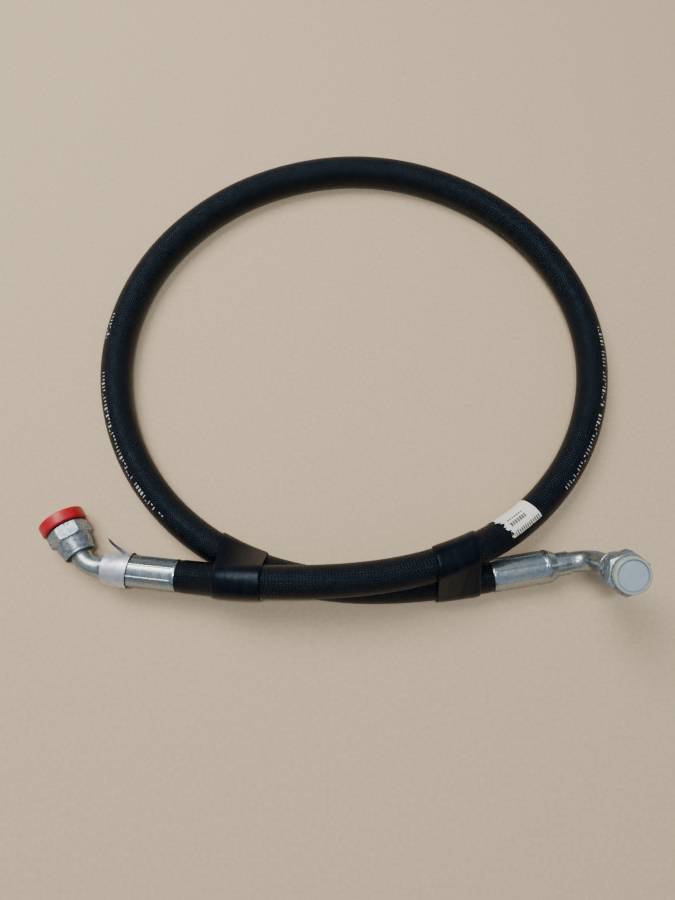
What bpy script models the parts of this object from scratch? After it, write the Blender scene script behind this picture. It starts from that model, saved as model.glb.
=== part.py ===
"""Hydraulic hose assembly, size 12: a four-spiral hose lying in one loop on a table.

The hose's two ends run over each other and are lashed together with two bands of tape.
Each end has a crimped ferrule on a barbed stem, a bent tube, a flat-faced sleeve and a
swivel nut with a plastic dust plug. Metres, +Z up, origin on the table under the middle
of the assembly.
"""

import math

import bpy
import bmesh
import numpy as np
from mathutils import Matrix, Vector

# ---- driving dimensions, in metres and degrees ----

GAP = 0.0003  # clearance left between pieces that touch

# hose, from the outside inwards
HOSE_RADIUS = 0.01535
COVER_WALL = 0.0017
WIRE_WALL = 0.0004
WIRE_LAYERS = 4
HOSE_BORE_RADIUS = 0.0095
HOSE_STEPS = 36  # straight steps between the two ferrules
HOSE_LEAD = 0.006  # straight stretch just outside each ferrule

# crimped ferrule, measured along its axis from the mouth that the hose enters
FERRULE_WALL = 0.0020
MOUTH_WALL = 0.0004
FERRULE_LENGTH = 0.0615
FERRULE_NOSE = 0.0070  # length of the tapered nose
NOSE_WALL = 0.0012
MOUTH_EDGE = 0.0010
HOSE_IN_FERRULE = 0.0510
CRIMP_SQUEEZE = 0.88  # the hose's radius in the ferrule, as a share of its free radius
CRIMP_RUN_IN = 0.0080  # from the mouth to where the squeeze is full
LIP_LENGTH = 0.0060  # inner lip that locks the ferrule on the stem

# barbed stem
STEM_WALL = 0.0010  # at the roots of the barbs
BARB_CLEARANCE = 0.0004  # to the flats of the hose's bore
BARB_DEPTH = 0.0005
BARB_STEP = 0.0014
BARBS = 4
STEM_TIP = 0.0060  # its inner end, measured from the ferrule's mouth
COLLAR_WALL = 0.0012
COLLAR_END = 0.0750
COLLAR_SOCKET = 0.0115

# bent tube
TUBE_RADIUS = 0.009525
TUBE_WALL = 0.0021

# swivel nut, measured along its axis from its back
NUT_ACROSS_FLATS = 0.0349
NUT_LENGTH = 0.0300
NUT_SKIRT = 0.0155
NUT_SKIRT_RADIUS = 0.0148
NUT_THREAD_RADIUS = 0.0141  # crests of the inner thread
NUT_SHOULDER = 0.0050
NUT_CHAMFER = 0.0013
SKIRT_EDGE = 0.0020
SEAL_DEPTH = 0.0120  # seal face, behind the nut's front

# sleeve brazed on the tube's end, which holds the nut and carries the seal face
SLEEVE_PLAY = 0.0004
SLEEVE_HUB_WALL = 0.0019
SLEEVE_FACE_WALL = 0.0040
SLEEVE_START = 0.0010

# dust plugs
PLUG_SHANK_LENGTH = 0.0090
PLUG_WALL = 0.0015
PLUG_ROUND = 0.0012
PLUG_RIM = 0.0029
PLUG_RECESS = 0.0015

# foil identity tag round the left ferrule's nose
TAG_START = 0.0460
TAG_LENGTH = 0.0240
TAG_WALL = 0.0005
TAG_TAPER = 0.0014
TAG_FLAG_HEIGHT = 0.0130
TAG_FLAG_WALL = 0.0008
TAG_FLAG_LOW = 0.0020  # its height at the hose's end, where it dies away
TAG_FLAG_TURN = -45.0  # where the flag stands, round the ferrule from the bend's side

# paper label on the hose
LABEL_LENGTH = 0.0420
LABEL_WALL = 0.0004
LABEL_FROM = -95.0  # degrees round the hose from its top, negative to the loop's inside
LABEL_TO = 35.0
LABEL_AT = (0.170, -0.173)
LABEL_SLIDE = 0.0025  # along its straight step

# tape bands round both hose ends
TAPE_WALL = 0.0009
TAPE_CLEARANCE = 0.0011
TAPE_ANGLES = 20
LEFT_TAPE = {"at": -0.0870, "width": 0.044, "heading": -5.0}
RIGHT_TAPE = {"at": 0.1130, "width": 0.041, "heading": 7.0}

# the two end fittings: place of the ferrule's mouth, compass heading and climb of its
# axis, roll of the bend's plane, bend, straight tube before and after it, and how far
# the swivel nut happens to be turned
LEFT_END = {
    "mouth": (-0.1450, -0.2182),
    "heading": 173.6,
    "climb": -4.0,
    "roll": 3.0,
    "bend": 50.0,
    "bend_radius": 0.0220,
    "before": 0.0038,
    "after": 0.0022,
    "nut_turn": -10.5,
    "plug_flange_radius": 0.02165,
    "plug_flange": 0.0112,
}
RIGHT_END = {
    "mouth": (0.1485, -0.2173),
    "heading": 9.5,
    "climb": 0.6,
    "roll": 74.5,
    "bend": 90.0,
    "bend_radius": 0.0195,
    "before": 0.0030,
    "after": 0.0300,
    "nut_turn": -16.0,
    "plug_flange_radius": 0.0162,
    "plug_flange": 0.0070,
}

# the hose's route from the left ferrule round the loop to the right one: x, y, and how
# high its axis is lifted above where it lies on the table, in hose diameters
ROUTE = [
    (-0.1040, -0.2230, 0.74),
    (-0.0600, -0.2253, 1.02),
    (-0.0120, -0.2250, 1.09),
    (0.0380, -0.2210, 1.08),
    (0.0860, -0.2115, 0.99),
    (0.1310, -0.1950, 0.74),
    (0.1720, -0.1715, 0.32),
    (0.2090, -0.1390, 0.06),
    (0.2390, -0.0975, 0.01),
    (0.2585, -0.0480, 0.0),
    (0.2650, 0.0055, 0.0),
    (0.2575, 0.0580, 0.0),
    (0.2365, 0.1080, 0.0),
    (0.2035, 0.1525, 0.0),
    (0.1600, 0.1885, 0.0),
    (0.1100, 0.2135, 0.0),
    (0.0560, 0.2275, 0.0),
    (0.0000, 0.2290, 0.0),
    (-0.0550, 0.2180, 0.0),
    (-0.1070, 0.1955, 0.0),
    (-0.1525, 0.1615, 0.0),
    (-0.1890, 0.1185, 0.0),
    (-0.2135, 0.0680, 0.0),
    (-0.2245, 0.0125, 0.0),
    (-0.2210, -0.0405, 0.0),
    (-0.2040, -0.0925, 0.0),
    (-0.1725, -0.1415, 0.005),
    (-0.1305, -0.1800, 0.03),
    (-0.0820, -0.2065, 0.06),
    (-0.0285, -0.2220, 0.06),
    (0.0265, -0.2280, 0.06),
    (0.0880, -0.2255, 0.06),
]

# ---- values worked out from the dimensions ----

HOSE_SIDES = 8
TURNED_SIDES = 24
HOSE_DIAMETER = 2 * HOSE_RADIUS
BORE_FLAT_RADIUS = CRIMP_SQUEEZE * HOSE_BORE_RADIUS * math.cos(math.pi / HOSE_SIDES)
NIPPLE_RADIUS = BORE_FLAT_RADIUS - BARB_CLEARANCE
STEM_BORE_RADIUS = NIPPLE_RADIUS - BARB_DEPTH - STEM_WALL
FERRULE_BORE = CRIMP_SQUEEZE * HOSE_RADIUS + GAP
FERRULE_RADIUS = FERRULE_BORE + FERRULE_WALL
SQUEEZED_AT_MOUTH = (1 - CRIMP_SQUEEZE) * HOSE_LEAD / (HOSE_LEAD + CRIMP_RUN_IN)
HOSE_AT_MOUTH = HOSE_RADIUS * (1 - SQUEEZED_AT_MOUTH)
MOUTH_BORE = HOSE_AT_MOUTH / math.cos(math.pi / TURNED_SIDES) + GAP / 2
MOUTH_RADIUS = MOUTH_BORE + MOUTH_WALL
COLLAR_RADIUS = TUBE_RADIUS + GAP + COLLAR_WALL
GROOVE_RADIUS = TUBE_RADIUS
LIP_START = HOSE_IN_FERRULE + GAP
LIP_END = LIP_START + LIP_LENGTH
SOCKET_START = COLLAR_END - COLLAR_SOCKET
TUBE_BORE_RADIUS = TUBE_RADIUS - TUBE_WALL
SEAL_FACE = NUT_LENGTH - SEAL_DEPTH
HEX_RADIUS = NUT_ACROSS_FLATS / math.sqrt(3)
SLEEVE_RADIUS = NUT_THREAD_RADIUS - SLEEVE_PLAY
SLEEVE_HUB_RADIUS = TUBE_RADIUS + GAP + SLEEVE_HUB_WALL
PLUG_SHANK_RADIUS = NUT_THREAD_RADIUS - GAP


# ---- scene, materials and small helpers ----


def clear_scene():
    for obj in list(bpy.data.objects):
        bpy.data.objects.remove(obj, do_unlink=True)


def new_collection(name):
    collection = bpy.data.collections.new(name)
    bpy.context.scene.collection.children.link(collection)
    return collection


def new_material(name, colour, roughness, metallic=0.0, alpha=1.0):
    material = bpy.data.materials.new(name)
    material.use_nodes = True
    shader = material.node_tree.nodes["Principled BSDF"]
    shader.inputs["Base Color"].default_value = (*colour, 1.0)
    shader.inputs["Roughness"].default_value = roughness
    shader.inputs["Metallic"].default_value = metallic
    shader.inputs["Alpha"].default_value = alpha
    material.diffuse_color = (*colour, alpha)
    return material


clear_scene()
PARTS = new_collection("hydraulic_hose_assembly")
CUTTERS = new_collection("cutters")

RUBBER = new_material("cover_rubber", (0.012, 0.014, 0.018), 0.42)
TUBE_RUBBER = new_material("inner_tube_rubber", (0.02, 0.02, 0.02), 0.6)
WIRE = new_material("brassed_wire", (0.55, 0.42, 0.22), 0.35, metallic=1.0)
ZINC = new_material("zinc_plated_steel", (0.66, 0.69, 0.70), 0.3, metallic=1.0)
RED_PLASTIC = new_material("red_plastic", (0.62, 0.01, 0.015), 0.35)
CLEAR_PLASTIC = new_material("clear_plastic", (0.62, 0.68, 0.74), 0.3, alpha=0.6)
TAPE = new_material("black_tape", (0.008, 0.009, 0.014), 0.35)
FOIL = new_material("foil_tag", (0.62, 0.60, 0.66), 0.45, metallic=0.6)
PAPER = new_material("label_paper", (0.80, 0.75, 0.66), 0.7)


def add_object(name, data, material, parent=None, collection=PARTS):
    obj = bpy.data.objects.new(name, data)
    collection.objects.link(obj)
    obj.parent = parent
    if material:
        data.materials.append(material)
    return obj


def add_empty(name, matrix, parent=None):
    empty = bpy.data.objects.new(name, None)
    empty.empty_display_size = 0.02
    PARTS.objects.link(empty)
    empty.parent = parent
    empty.matrix_local = matrix
    return empty


def as_cutter(obj):
    """Keeps a helper out of the model: wire only, and not rendered."""
    PARTS.objects.unlink(obj)
    CUTTERS.objects.link(obj)
    obj.hide_render = True
    obj.display_type = "WIRE"
    return obj


def add_turned(name, profile, material, parent, closed=True, segments=TURNED_SIDES):
    """A turned piece: (radius, height) points down the outer side, spun about local Z."""
    mesh = bpy.data.meshes.new(name)
    edges = [(i, i + 1) for i in range(len(profile) - 1)]
    if closed:
        edges.append((len(profile) - 1, 0))
    mesh.from_pydata([(radius, 0.0, height) for radius, height in profile], edges, [])
    obj = add_object(name, mesh, material, parent)
    screw = obj.modifiers.new("turned", "SCREW")
    screw.angle = 2 * math.pi
    screw.steps = segments
    screw.render_steps = segments
    screw.use_merge_vertices = True
    screw.merge_threshold = 0.00005
    return obj


def add_boolean(obj, other, operation):
    modifier = obj.modifiers.new(operation.lower(), "BOOLEAN")
    modifier.operation = operation
    modifier.object = other
    modifier.solver = "EXACT"


def curve_skin(name, points, radius, resolution, swell):
    """The open skin of a bevelled curve along straight steps, as a mesh."""
    curve = bpy.data.curves.new(name, "CURVE")
    curve.dimensions = "3D"
    curve.twist_mode = "Z_UP"
    curve.bevel_depth = radius
    curve.bevel_resolution = resolution
    spline = curve.splines.new("POLY")
    spline.points.add(len(points) - 1)
    for i, place in enumerate(points):
        spline.points[i].co = (*place, 1.0)
        spline.points[i].radius = swell[i]
    line = bpy.data.objects.new(name, curve)
    PARTS.objects.link(line)
    graph = bpy.context.evaluated_depsgraph_get()
    mesh = bpy.data.meshes.new_from_object(line.evaluated_get(graph))
    bpy.data.objects.remove(line, do_unlink=True)
    return mesh


def add_pipe(name, points, radius, bore_radius, resolution, material, parent=None, swell=None):
    """A hollow tube along straight steps: an outer and an inner skin, joined at both ends."""
    swell = [1.0] * len(points) if swell is None else swell
    pipe = bmesh.new()
    for size, inner in ((radius, False), (bore_radius, True)):
        skin = curve_skin(name + "_skin", points, size, resolution, swell)
        first = len(pipe.faces)
        pipe.from_mesh(skin)
        bpy.data.meshes.remove(skin)
        pipe.faces.ensure_lookup_table()
        bmesh.ops.recalc_face_normals(pipe, faces=pipe.faces[first:])
        if inner:
            bmesh.ops.reverse_faces(pipe, faces=pipe.faces[first:])
    bmesh.ops.remove_doubles(pipe, verts=pipe.verts, dist=0.00001)
    for end in (Vector(points[0]), Vector(points[-1])):
        rim = [
            edge
            for edge in pipe.edges
            if edge.is_boundary and (edge.verts[0].co - end).length < 1.1 * radius
        ]
        bmesh.ops.bridge_loops(pipe, edges=rim)
    bmesh.ops.recalc_face_normals(pipe, faces=pipe.faces)
    mesh = bpy.data.meshes.new(name)
    pipe.to_mesh(mesh)
    pipe.free()
    return add_object(name, mesh, material, parent)


def shade_round(obj):
    if obj.type == "MESH":
        obj.data.shade_smooth()
        obj.data.set_sharp_from_angle(angle=math.radians(35))


# ---- the frames of the two end fittings ----


def fitting_matrix(end, height):
    """Local Z runs out along the ferrule's axis from its mouth, local X to the bend's side."""
    heading, climb, roll = (math.radians(end[key]) for key in ("heading", "climb", "roll"))
    level = Vector((math.cos(heading), math.sin(heading), 0.0))
    axis = level * math.cos(climb) + Vector((0, 0, math.sin(climb)))
    right = level.cross(Vector((0, 0, 1)))
    upright = right.cross(axis)
    bend_side = right * math.cos(roll) + upright * math.sin(roll)
    turned = Matrix((bend_side, axis.cross(bend_side), axis)).transposed()
    place = Vector((*end["mouth"], height))
    return Matrix.LocRotScale(place, turned.to_quaternion(), None)


def corner_distance(end):
    """From the ferrule's mouth to where the bend's two centre lines meet."""
    half = math.radians(end["bend"]) / 2
    return COLLAR_END + end["before"] + end["bend_radius"] * math.tan(half)


def left_mouth_height():
    """The left end rests on its plug's flange, and its ferrule climbs from there."""
    climb = math.radians(LEFT_END["climb"])
    return LEFT_END["plug_flange_radius"] + GAP - corner_distance(LEFT_END) * math.sin(climb)


def nut_matrix(end):
    """In the fitting's frame: local Z runs out along the nut's axis from the nut's back."""
    bend = math.radians(end["bend"])
    back = end["bend_radius"] * math.tan(bend / 2) + end["after"]
    axis = Vector((math.sin(bend), 0.0, math.cos(bend)))
    place = Vector((0, 0, corner_distance(end))) + axis * back
    return Matrix.Translation(place) @ Matrix.Rotation(bend, 4, "Y")


LEFT_FRAME = fitting_matrix(LEFT_END, left_mouth_height())
RIGHT_FRAME = fitting_matrix(RIGHT_END, FERRULE_RADIUS + GAP)


# ---- the hose's route ----


def clamped_spline(points, first_slope, last_slope, samples):
    """A cubic spline through the points with set end directions, read evenly along it."""
    points = np.array(points)
    steps = np.linalg.norm(np.diff(points, axis=0), axis=1)
    knots = np.concatenate([[0.0], np.cumsum(steps)])
    slopes = np.diff(points, axis=0) / steps[:, None]
    count = len(points)
    matrix = np.zeros((count, count))
    right = np.zeros((count, 3))
    matrix[0, :2] = 2 * steps[0], steps[0]
    matrix[-1, -2:] = steps[-1], 2 * steps[-1]
    right[0] = 6 * (slopes[0] - first_slope)
    right[-1] = 6 * (last_slope - slopes[-1])
    for i in range(1, count - 1):
        matrix[i, i - 1 : i + 2] = steps[i - 1], 2 * (steps[i - 1] + steps[i]), steps[i]
        right[i] = 6 * (slopes[i] - slopes[i - 1])
    bends = np.linalg.solve(matrix, right)
    fine = np.linspace(0.0, knots[-1], 40 * count)
    span = np.clip(np.searchsorted(knots, fine) - 1, 0, count - 2)
    step = steps[span, None]
    into = fine[:, None] - knots[span, None]
    left = step - into
    curve = (
        (bends[span] * left**3 + bends[span + 1] * into**3) / (6 * step)
        + (points[span] / step - bends[span] * step / 6) * left
        + (points[span + 1] / step - bends[span + 1] * step / 6) * into
    )
    run = np.concatenate([[0.0], np.cumsum(np.linalg.norm(np.diff(curve, axis=0), axis=1))])
    even = np.linspace(0.0, run[-1], samples)
    return np.stack([np.interp(even, run, curve[:, k]) for k in range(3)], axis=1)


def hose_points():
    """The hose's centre line: straight inside each ferrule, a smooth curve between."""
    left, right = (np.array(frame.translation) for frame in (LEFT_FRAME, RIGHT_FRAME))
    left_out, right_out = (np.array(frame.col[2][:3]) for frame in (LEFT_FRAME, RIGHT_FRAME))
    free = [(x, y, HOSE_RADIUS + lift * HOSE_DIAMETER) for x, y, lift in ROUTE]
    start = left - HOSE_LEAD * left_out
    end = right - HOSE_LEAD * right_out
    between = clamped_spline([start, *free, end], -left_out, right_out, HOSE_STEPS + 1)
    first = [left + depth * left_out for depth in (HOSE_IN_FERRULE, CRIMP_RUN_IN)]
    last = [right + depth * right_out for depth in (CRIMP_RUN_IN, HOSE_IN_FERRULE)]
    return np.vstack([*first, between, *last])


HOSE_LINE = hose_points()
HOSE_SWELL = [CRIMP_SQUEEZE] * 2 + [1.0] * (len(HOSE_LINE) - 4) + [CRIMP_SQUEEZE] * 2


# ---- hose ----


def add_layer(name, radius, bore_radius, material):
    add_pipe(name, HOSE_LINE, radius, bore_radius, 2, material, swell=HOSE_SWELL)


def add_hose():
    """The cover, the spiral wire layers and the inner tube, nested with a gap between."""
    inner = HOSE_RADIUS - COVER_WALL
    add_layer("hose_cover", HOSE_RADIUS, inner, RUBBER)
    for layer in range(WIRE_LAYERS, 0, -1):
        outer = inner - GAP
        inner = outer - WIRE_WALL
        add_layer(f"spiral_wire_layer_{layer}", outer, inner, WIRE)
    add_layer("hose_inner_tube", inner - GAP, HOSE_BORE_RADIUS, TUBE_RUBBER)


# ---- end fittings ----


def add_ferrule(side, parent):
    """The crimped shell: a mouth for the hose, a tapered nose and an inner locking lip."""
    nose_bore = COLLAR_RADIUS + GAP
    profile = [
        (nose_bore + NOSE_WALL, FERRULE_LENGTH),
        (FERRULE_RADIUS, FERRULE_LENGTH - FERRULE_NOSE),
        (MOUTH_RADIUS, MOUTH_EDGE),
        (MOUTH_RADIUS - MOUTH_EDGE / 3, 0.0),
        (MOUTH_BORE, 0.0),
        (FERRULE_BORE, CRIMP_RUN_IN),
        (FERRULE_BORE, LIP_START),
        (GROOVE_RADIUS + GAP, LIP_START),
        (GROOVE_RADIUS + GAP, LIP_END),
        (nose_bore, LIP_END),
        (nose_bore, FERRULE_LENGTH),
    ]
    add_turned(side + "_ferrule", profile, ZINC, parent)


def add_stem(side, parent):
    """The stem: a collar with a socket for the tube, a locking groove, and a barbed nipple."""
    profile = [
        (COLLAR_RADIUS, COLLAR_END),
        (COLLAR_RADIUS, LIP_END + GAP),
        (GROOVE_RADIUS, LIP_END + GAP),
        (GROOVE_RADIUS, LIP_START + GAP),
        (NIPPLE_RADIUS, LIP_START + GAP),
    ]
    pitch = (HOSE_IN_FERRULE - STEM_TIP) / (BARBS + 1)
    for barb in range(BARBS, 0, -1):
        crest = STEM_TIP + barb * pitch
        profile.append((NIPPLE_RADIUS, crest))
        profile.append((NIPPLE_RADIUS - BARB_DEPTH, crest - BARB_STEP))
    profile += [
        (NIPPLE_RADIUS - BARB_DEPTH, STEM_TIP),
        (STEM_BORE_RADIUS, STEM_TIP),
        (STEM_BORE_RADIUS, SOCKET_START),
        (TUBE_RADIUS + GAP, SOCKET_START),
        (TUBE_RADIUS + GAP, COLLAR_END),
    ]
    add_turned(side + "_stem", profile, ZINC, parent, segments=16)


def add_elbow_tube(side, end, parent):
    """The bent tube, from the stem's socket through its bend into the sleeve."""
    bend = math.radians(end["bend"])
    radius = end["bend_radius"]
    start = COLLAR_END + end["before"]
    sweeps = max(3, round(end["bend"] / 12))
    points = [(0.0, 0.0, SOCKET_START + GAP)]
    for i in range(sweeps + 1):
        angle = bend * i / sweeps
        points.append((radius * (1 - math.cos(angle)), 0.0, start + radius * math.sin(angle)))
    tube_end = SEAL_FACE - SLEEVE_FACE_WALL - GAP
    points.append(tuple(nut_matrix(end) @ Vector((0, 0, tube_end))))
    add_pipe(side + "_elbow_tube", points, TUBE_RADIUS, TUBE_BORE_RADIUS, 4, ZINC, parent)


def add_sleeve(side, parent):
    """The sleeve on the tube's end: a flat seal face, and a shoulder that holds the nut."""
    shoulder = NUT_SHOULDER + GAP
    pocket = SEAL_FACE - SLEEVE_FACE_WALL
    profile = [
        (SLEEVE_RADIUS, SEAL_FACE),
        (SLEEVE_RADIUS, shoulder),
        (SLEEVE_HUB_RADIUS, shoulder),
        (SLEEVE_HUB_RADIUS, SLEEVE_START),
        (TUBE_RADIUS + GAP, SLEEVE_START),
        (TUBE_RADIUS + GAP, pocket),
        (TUBE_BORE_RADIUS, pocket),
        (TUBE_BORE_RADIUS, SEAL_FACE),
    ]
    add_turned(side + "_seal_sleeve", profile, ZINC, parent)


def add_nut(side, end, parent):
    """The swivel nut: a hexagonal bar kept only where a turned shape with a bore lies."""
    flat = NUT_ACROSS_FLATS / 2
    edge = HEX_RADIUS + GAP
    back_bore = SLEEVE_HUB_RADIUS + 2 * GAP
    turning = [
        (flat + GAP, NUT_LENGTH),
        (edge, NUT_LENGTH - NUT_CHAMFER),
        (edge, NUT_SKIRT + NUT_CHAMFER),
        (flat - NUT_CHAMFER / 2, NUT_SKIRT),
        (flat - NUT_CHAMFER, NUT_SKIRT - SKIRT_EDGE),
        (NUT_SKIRT_RADIUS, SKIRT_EDGE),
        (NUT_SKIRT_RADIUS - SKIRT_EDGE / 2, 0.0),
        (back_bore, 0.0),
        (back_bore, NUT_SHOULDER),
        (NUT_THREAD_RADIUS, NUT_SHOULDER),
        (NUT_THREAD_RADIUS, NUT_LENGTH - NUT_CHAMFER),
        (NUT_THREAD_RADIUS + NUT_CHAMFER, NUT_LENGTH),
    ]
    turned = as_cutter(add_turned(side + "_nut_turning", turning, None, parent))
    bpy.ops.mesh.primitive_cylinder_add(vertices=6, radius=HEX_RADIUS, depth=1.5 * NUT_LENGTH)
    nut = bpy.context.object
    nut.name = side + "_swivel_nut"
    nut.data.name = nut.name
    for collection in list(nut.users_collection):
        collection.objects.unlink(nut)
    PARTS.objects.link(nut)
    turn = Matrix.Rotation(math.radians(end["nut_turn"]), 4, "Z")
    nut.data.transform(Matrix.Translation((0, 0, NUT_LENGTH / 2)) @ turn)
    nut.data.materials.append(ZINC)
    nut.parent = parent
    add_boolean(nut, turned, "INTERSECT")


def add_plug(side, end, material, parent):
    """The dust plug: a cup in the nut's thread under a thick flange with a shallow recess."""
    seat = NUT_LENGTH + GAP
    top = seat + end["plug_flange"]
    tip = seat - PLUG_SHANK_LENGTH
    floor = top - PLUG_RECESS
    radius = end["plug_flange_radius"]
    hollow = PLUG_SHANK_RADIUS - PLUG_WALL
    profile = [
        (0.0, floor),
        (radius - PLUG_RIM, floor),
        (radius - PLUG_RIM, top),
        (radius - PLUG_ROUND, top),
        (radius, top - PLUG_ROUND),
        (radius, seat + PLUG_ROUND),
        (radius - PLUG_ROUND, seat),
        (PLUG_SHANK_RADIUS, seat),
        (PLUG_SHANK_RADIUS, tip),
        (hollow, tip),
        (hollow, floor - PLUG_WALL),
        (0.0, floor - PLUG_WALL),
    ]
    add_turned(side + "_dust_plug", profile, material, parent, closed=False)


def add_end(side, end, frame, plug_material):
    fitting = add_empty(side + "_fitting", frame)
    swivel = add_empty(side + "_swivel", nut_matrix(end), fitting)
    add_ferrule(side, fitting)
    add_stem(side, fitting)
    add_elbow_tube(side, end, fitting)
    add_sleeve(side, swivel)
    add_nut(side, end, swivel)
    add_plug(side, end, plug_material, swivel)
    return fitting


# ---- tag, label and tape ----


def add_tag(parent):
    """A foil band closed round the ferrule's nose, its two ends stuck together as a flag."""
    inner = FERRULE_RADIUS + GAP
    nose = FERRULE_LENGTH - FERRULE_NOSE
    end = TAG_START + TAG_LENGTH
    profile = [
        (inner + TAG_WALL - TAG_TAPER, end),
        (inner + TAG_WALL, nose),
        (inner + TAG_WALL, TAG_START),
        (inner, TAG_START),
        (inner, nose),
        (inner - TAG_TAPER, end),
    ]
    tag = add_turned("foil_tag", profile, FOIL, parent)
    root = inner - TAG_TAPER + TAG_WALL / 2
    crest = inner + TAG_WALL + TAG_FLAG_HEIGHT
    low = inner + TAG_WALL + TAG_FLAG_LOW
    start = TAG_START + TAG_WALL
    outline = [(root, start), (low, start), (crest, end - TAG_WALL), (root, end - TAG_WALL)]
    half = TAG_FLAG_WALL / 2
    corners = [(x, y, z) for y in (-half, half) for x, z in outline]
    sides = [(i, (i + 1) % 4, (i + 1) % 4 + 4, i + 4) for i in range(4)]
    mesh = bpy.data.meshes.new("tag_flag")
    mesh.from_pydata(corners, [], [(3, 2, 1, 0), (4, 5, 6, 7), *sides])
    mesh.transform(Matrix.Rotation(math.radians(TAG_FLAG_TURN), 4, "Z"))
    flag = add_object("tag_flag", mesh, FOIL, parent)
    wide = crest + HOSE_RADIUS
    before = TAG_START - TAG_LENGTH
    after = end + TAG_LENGTH
    trim = [(wide, after), (wide, before), (inner, before), (inner, nose)]
    trim += [(inner - TAG_TAPER, end), (inner - TAG_TAPER, after)]
    shell = as_cutter(add_turned("tag_flag_trim", trim, None, parent))
    add_boolean(flag, shell, "INTERSECT")
    add_boolean(tag, as_cutter(flag), "UNION")


def add_label():
    """A paper patch over one straight step of the hose, bent to the hose's round."""
    middles = (HOSE_LINE[1:] + HOSE_LINE[:-1]) / 2
    raised = middles[:, 2] > HOSE_RADIUS * 1.05
    distance = np.linalg.norm(middles[:, :2] - np.array(LABEL_AT), axis=1)
    step = int(np.argmin(np.where(raised, distance, np.inf)))
    along = Vector(HOSE_LINE[step + 1] - HOSE_LINE[step]).normalized()
    outside = along.cross(Vector((0, 0, 1))).normalized()
    top = outside.cross(along)
    frame = Matrix((outside, along, top)).transposed().to_4x4()
    frame.translation = Vector(middles[step]) - along * LABEL_SLIDE
    radius = HOSE_RADIUS + 2 * GAP
    columns = 9
    patch = bmesh.new()
    rows = []
    for end in (-LABEL_LENGTH / 2, LABEL_LENGTH / 2):
        row = []
        for i in range(columns):
            angle = math.radians(LABEL_FROM + (LABEL_TO - LABEL_FROM) * i / (columns - 1))
            row.append(patch.verts.new((radius * math.sin(angle), end, radius * math.cos(angle))))
        rows.append(row)
    for a, b, c, d in zip(rows[0], rows[0][1:], rows[1][1:], rows[1]):
        patch.faces.new((a, b, c, d))
    mesh = bpy.data.meshes.new("paper_label")
    patch.to_mesh(mesh)
    patch.free()
    label = add_object("paper_label", mesh, PAPER)
    label.matrix_local = frame
    wall = label.modifiers.new("paper", "SOLIDIFY")
    wall.thickness = LABEL_WALL
    wall.offset = 1.0


def crossing(points, origin, normal):
    """Where a run of straight steps passes through a plane, and its direction there."""
    heights = (points - origin) @ normal
    step = int(np.argmax(heights[:-1] * heights[1:] <= 0))
    share = heights[step] / (heights[step] - heights[step + 1])
    direction = points[step + 1] - points[step]
    return points[step] + share * direction, direction / np.linalg.norm(direction)


def add_tape(name, tape):
    """A band pulled tight round both hose ends, lofted along them as it widens."""
    half = len(HOSE_LINE) // 2
    upper = HOSE_LINE[:half]
    lower = HOSE_LINE[half:]
    lower = lower[lower[:, 1] < 0]
    upper = upper[upper[:, 1] < 0]
    east = np.array([1.0, 0.0, 0.0])
    centres = [crossing(line, east * tape["at"], east) for line in (upper, lower)]
    heading = math.radians(tape["heading"])
    along = np.array([math.cos(heading), math.sin(heading), 0.0])
    origin = (centres[0][0] + centres[1][0]) / 2
    sideways = np.array([along[1], -along[0], 0.0])
    upwards = np.array([0.0, 0.0, 1.0])
    reach = tape["width"] / 2
    offsets = [-reach, reach]
    for line in (upper, lower):
        offsets += [d for d in (line - origin) @ along if abs(d) < reach - GAP]
    grow = HOSE_RADIUS + TAPE_CLEARANCE
    angles = [2 * math.pi * i / TAPE_ANGLES for i in range(TAPE_ANGLES)]
    band = bmesh.new()
    rings = []
    for offset in sorted(offsets):
        plane = origin + offset * along
        hoses = [crossing(line, plane, along) for line in (upper, lower)]
        ring = []
        for angle in angles:
            # the farther of the two hoses' outermost points in this direction
            outward = math.cos(angle) * sideways + math.sin(angle) * upwards
            reaches = []
            for centre, direction in hoses:
                across = outward - along * (outward @ direction) / (along @ direction)
                across /= np.linalg.norm(across)
                back = direction * (across @ along) / (direction @ along)
                reaches.append(centre + grow * (across - back))
            ring.append(band.verts.new(max(reaches, key=lambda point: point @ outward)))
        rings.append(ring)
    for near, far in zip(rings, rings[1:]):
        for i in range(len(near)):
            j = (i + 1) % len(near)
            band.faces.new((near[i], near[j], far[j], far[i]))
    bmesh.ops.recalc_face_normals(band, faces=band.faces)
    middle = Vector(origin)
    side_face = max(band.faces, key=lambda face: (face.calc_center_median() - middle).length)
    if side_face.normal.dot(side_face.calc_center_median() - middle) < 0:
        bmesh.ops.reverse_faces(band, faces=band.faces)
    mesh = bpy.data.meshes.new(name)
    band.to_mesh(mesh)
    band.free()
    obj = add_object(name, mesh, TAPE)
    wall = obj.modifiers.new("tape", "SOLIDIFY")
    wall.thickness = TAPE_WALL
    wall.offset = 1.0
    wall.use_even_offset = True


def build():
    add_hose()
    left = add_end("left", LEFT_END, LEFT_FRAME, RED_PLASTIC)
    add_end("right", RIGHT_END, RIGHT_FRAME, CLEAR_PLASTIC)
    add_tag(left)
    add_label()
    add_tape("left_tape_band", LEFT_TAPE)
    add_tape("right_tape_band", RIGHT_TAPE)
    for obj in PARTS.objects:
        shade_round(obj)


build()
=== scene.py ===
"""Looks of a hydraulic hose assembly: the cloth-wrapped hose in its loop, and both end fittings.

Every piece is a surface worked out as arrays: a profile turned about an axis, a ring carried
along the hose's route, or a patch laid on the hose. Metres, +Z up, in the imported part's frame.
"""

import math

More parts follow.
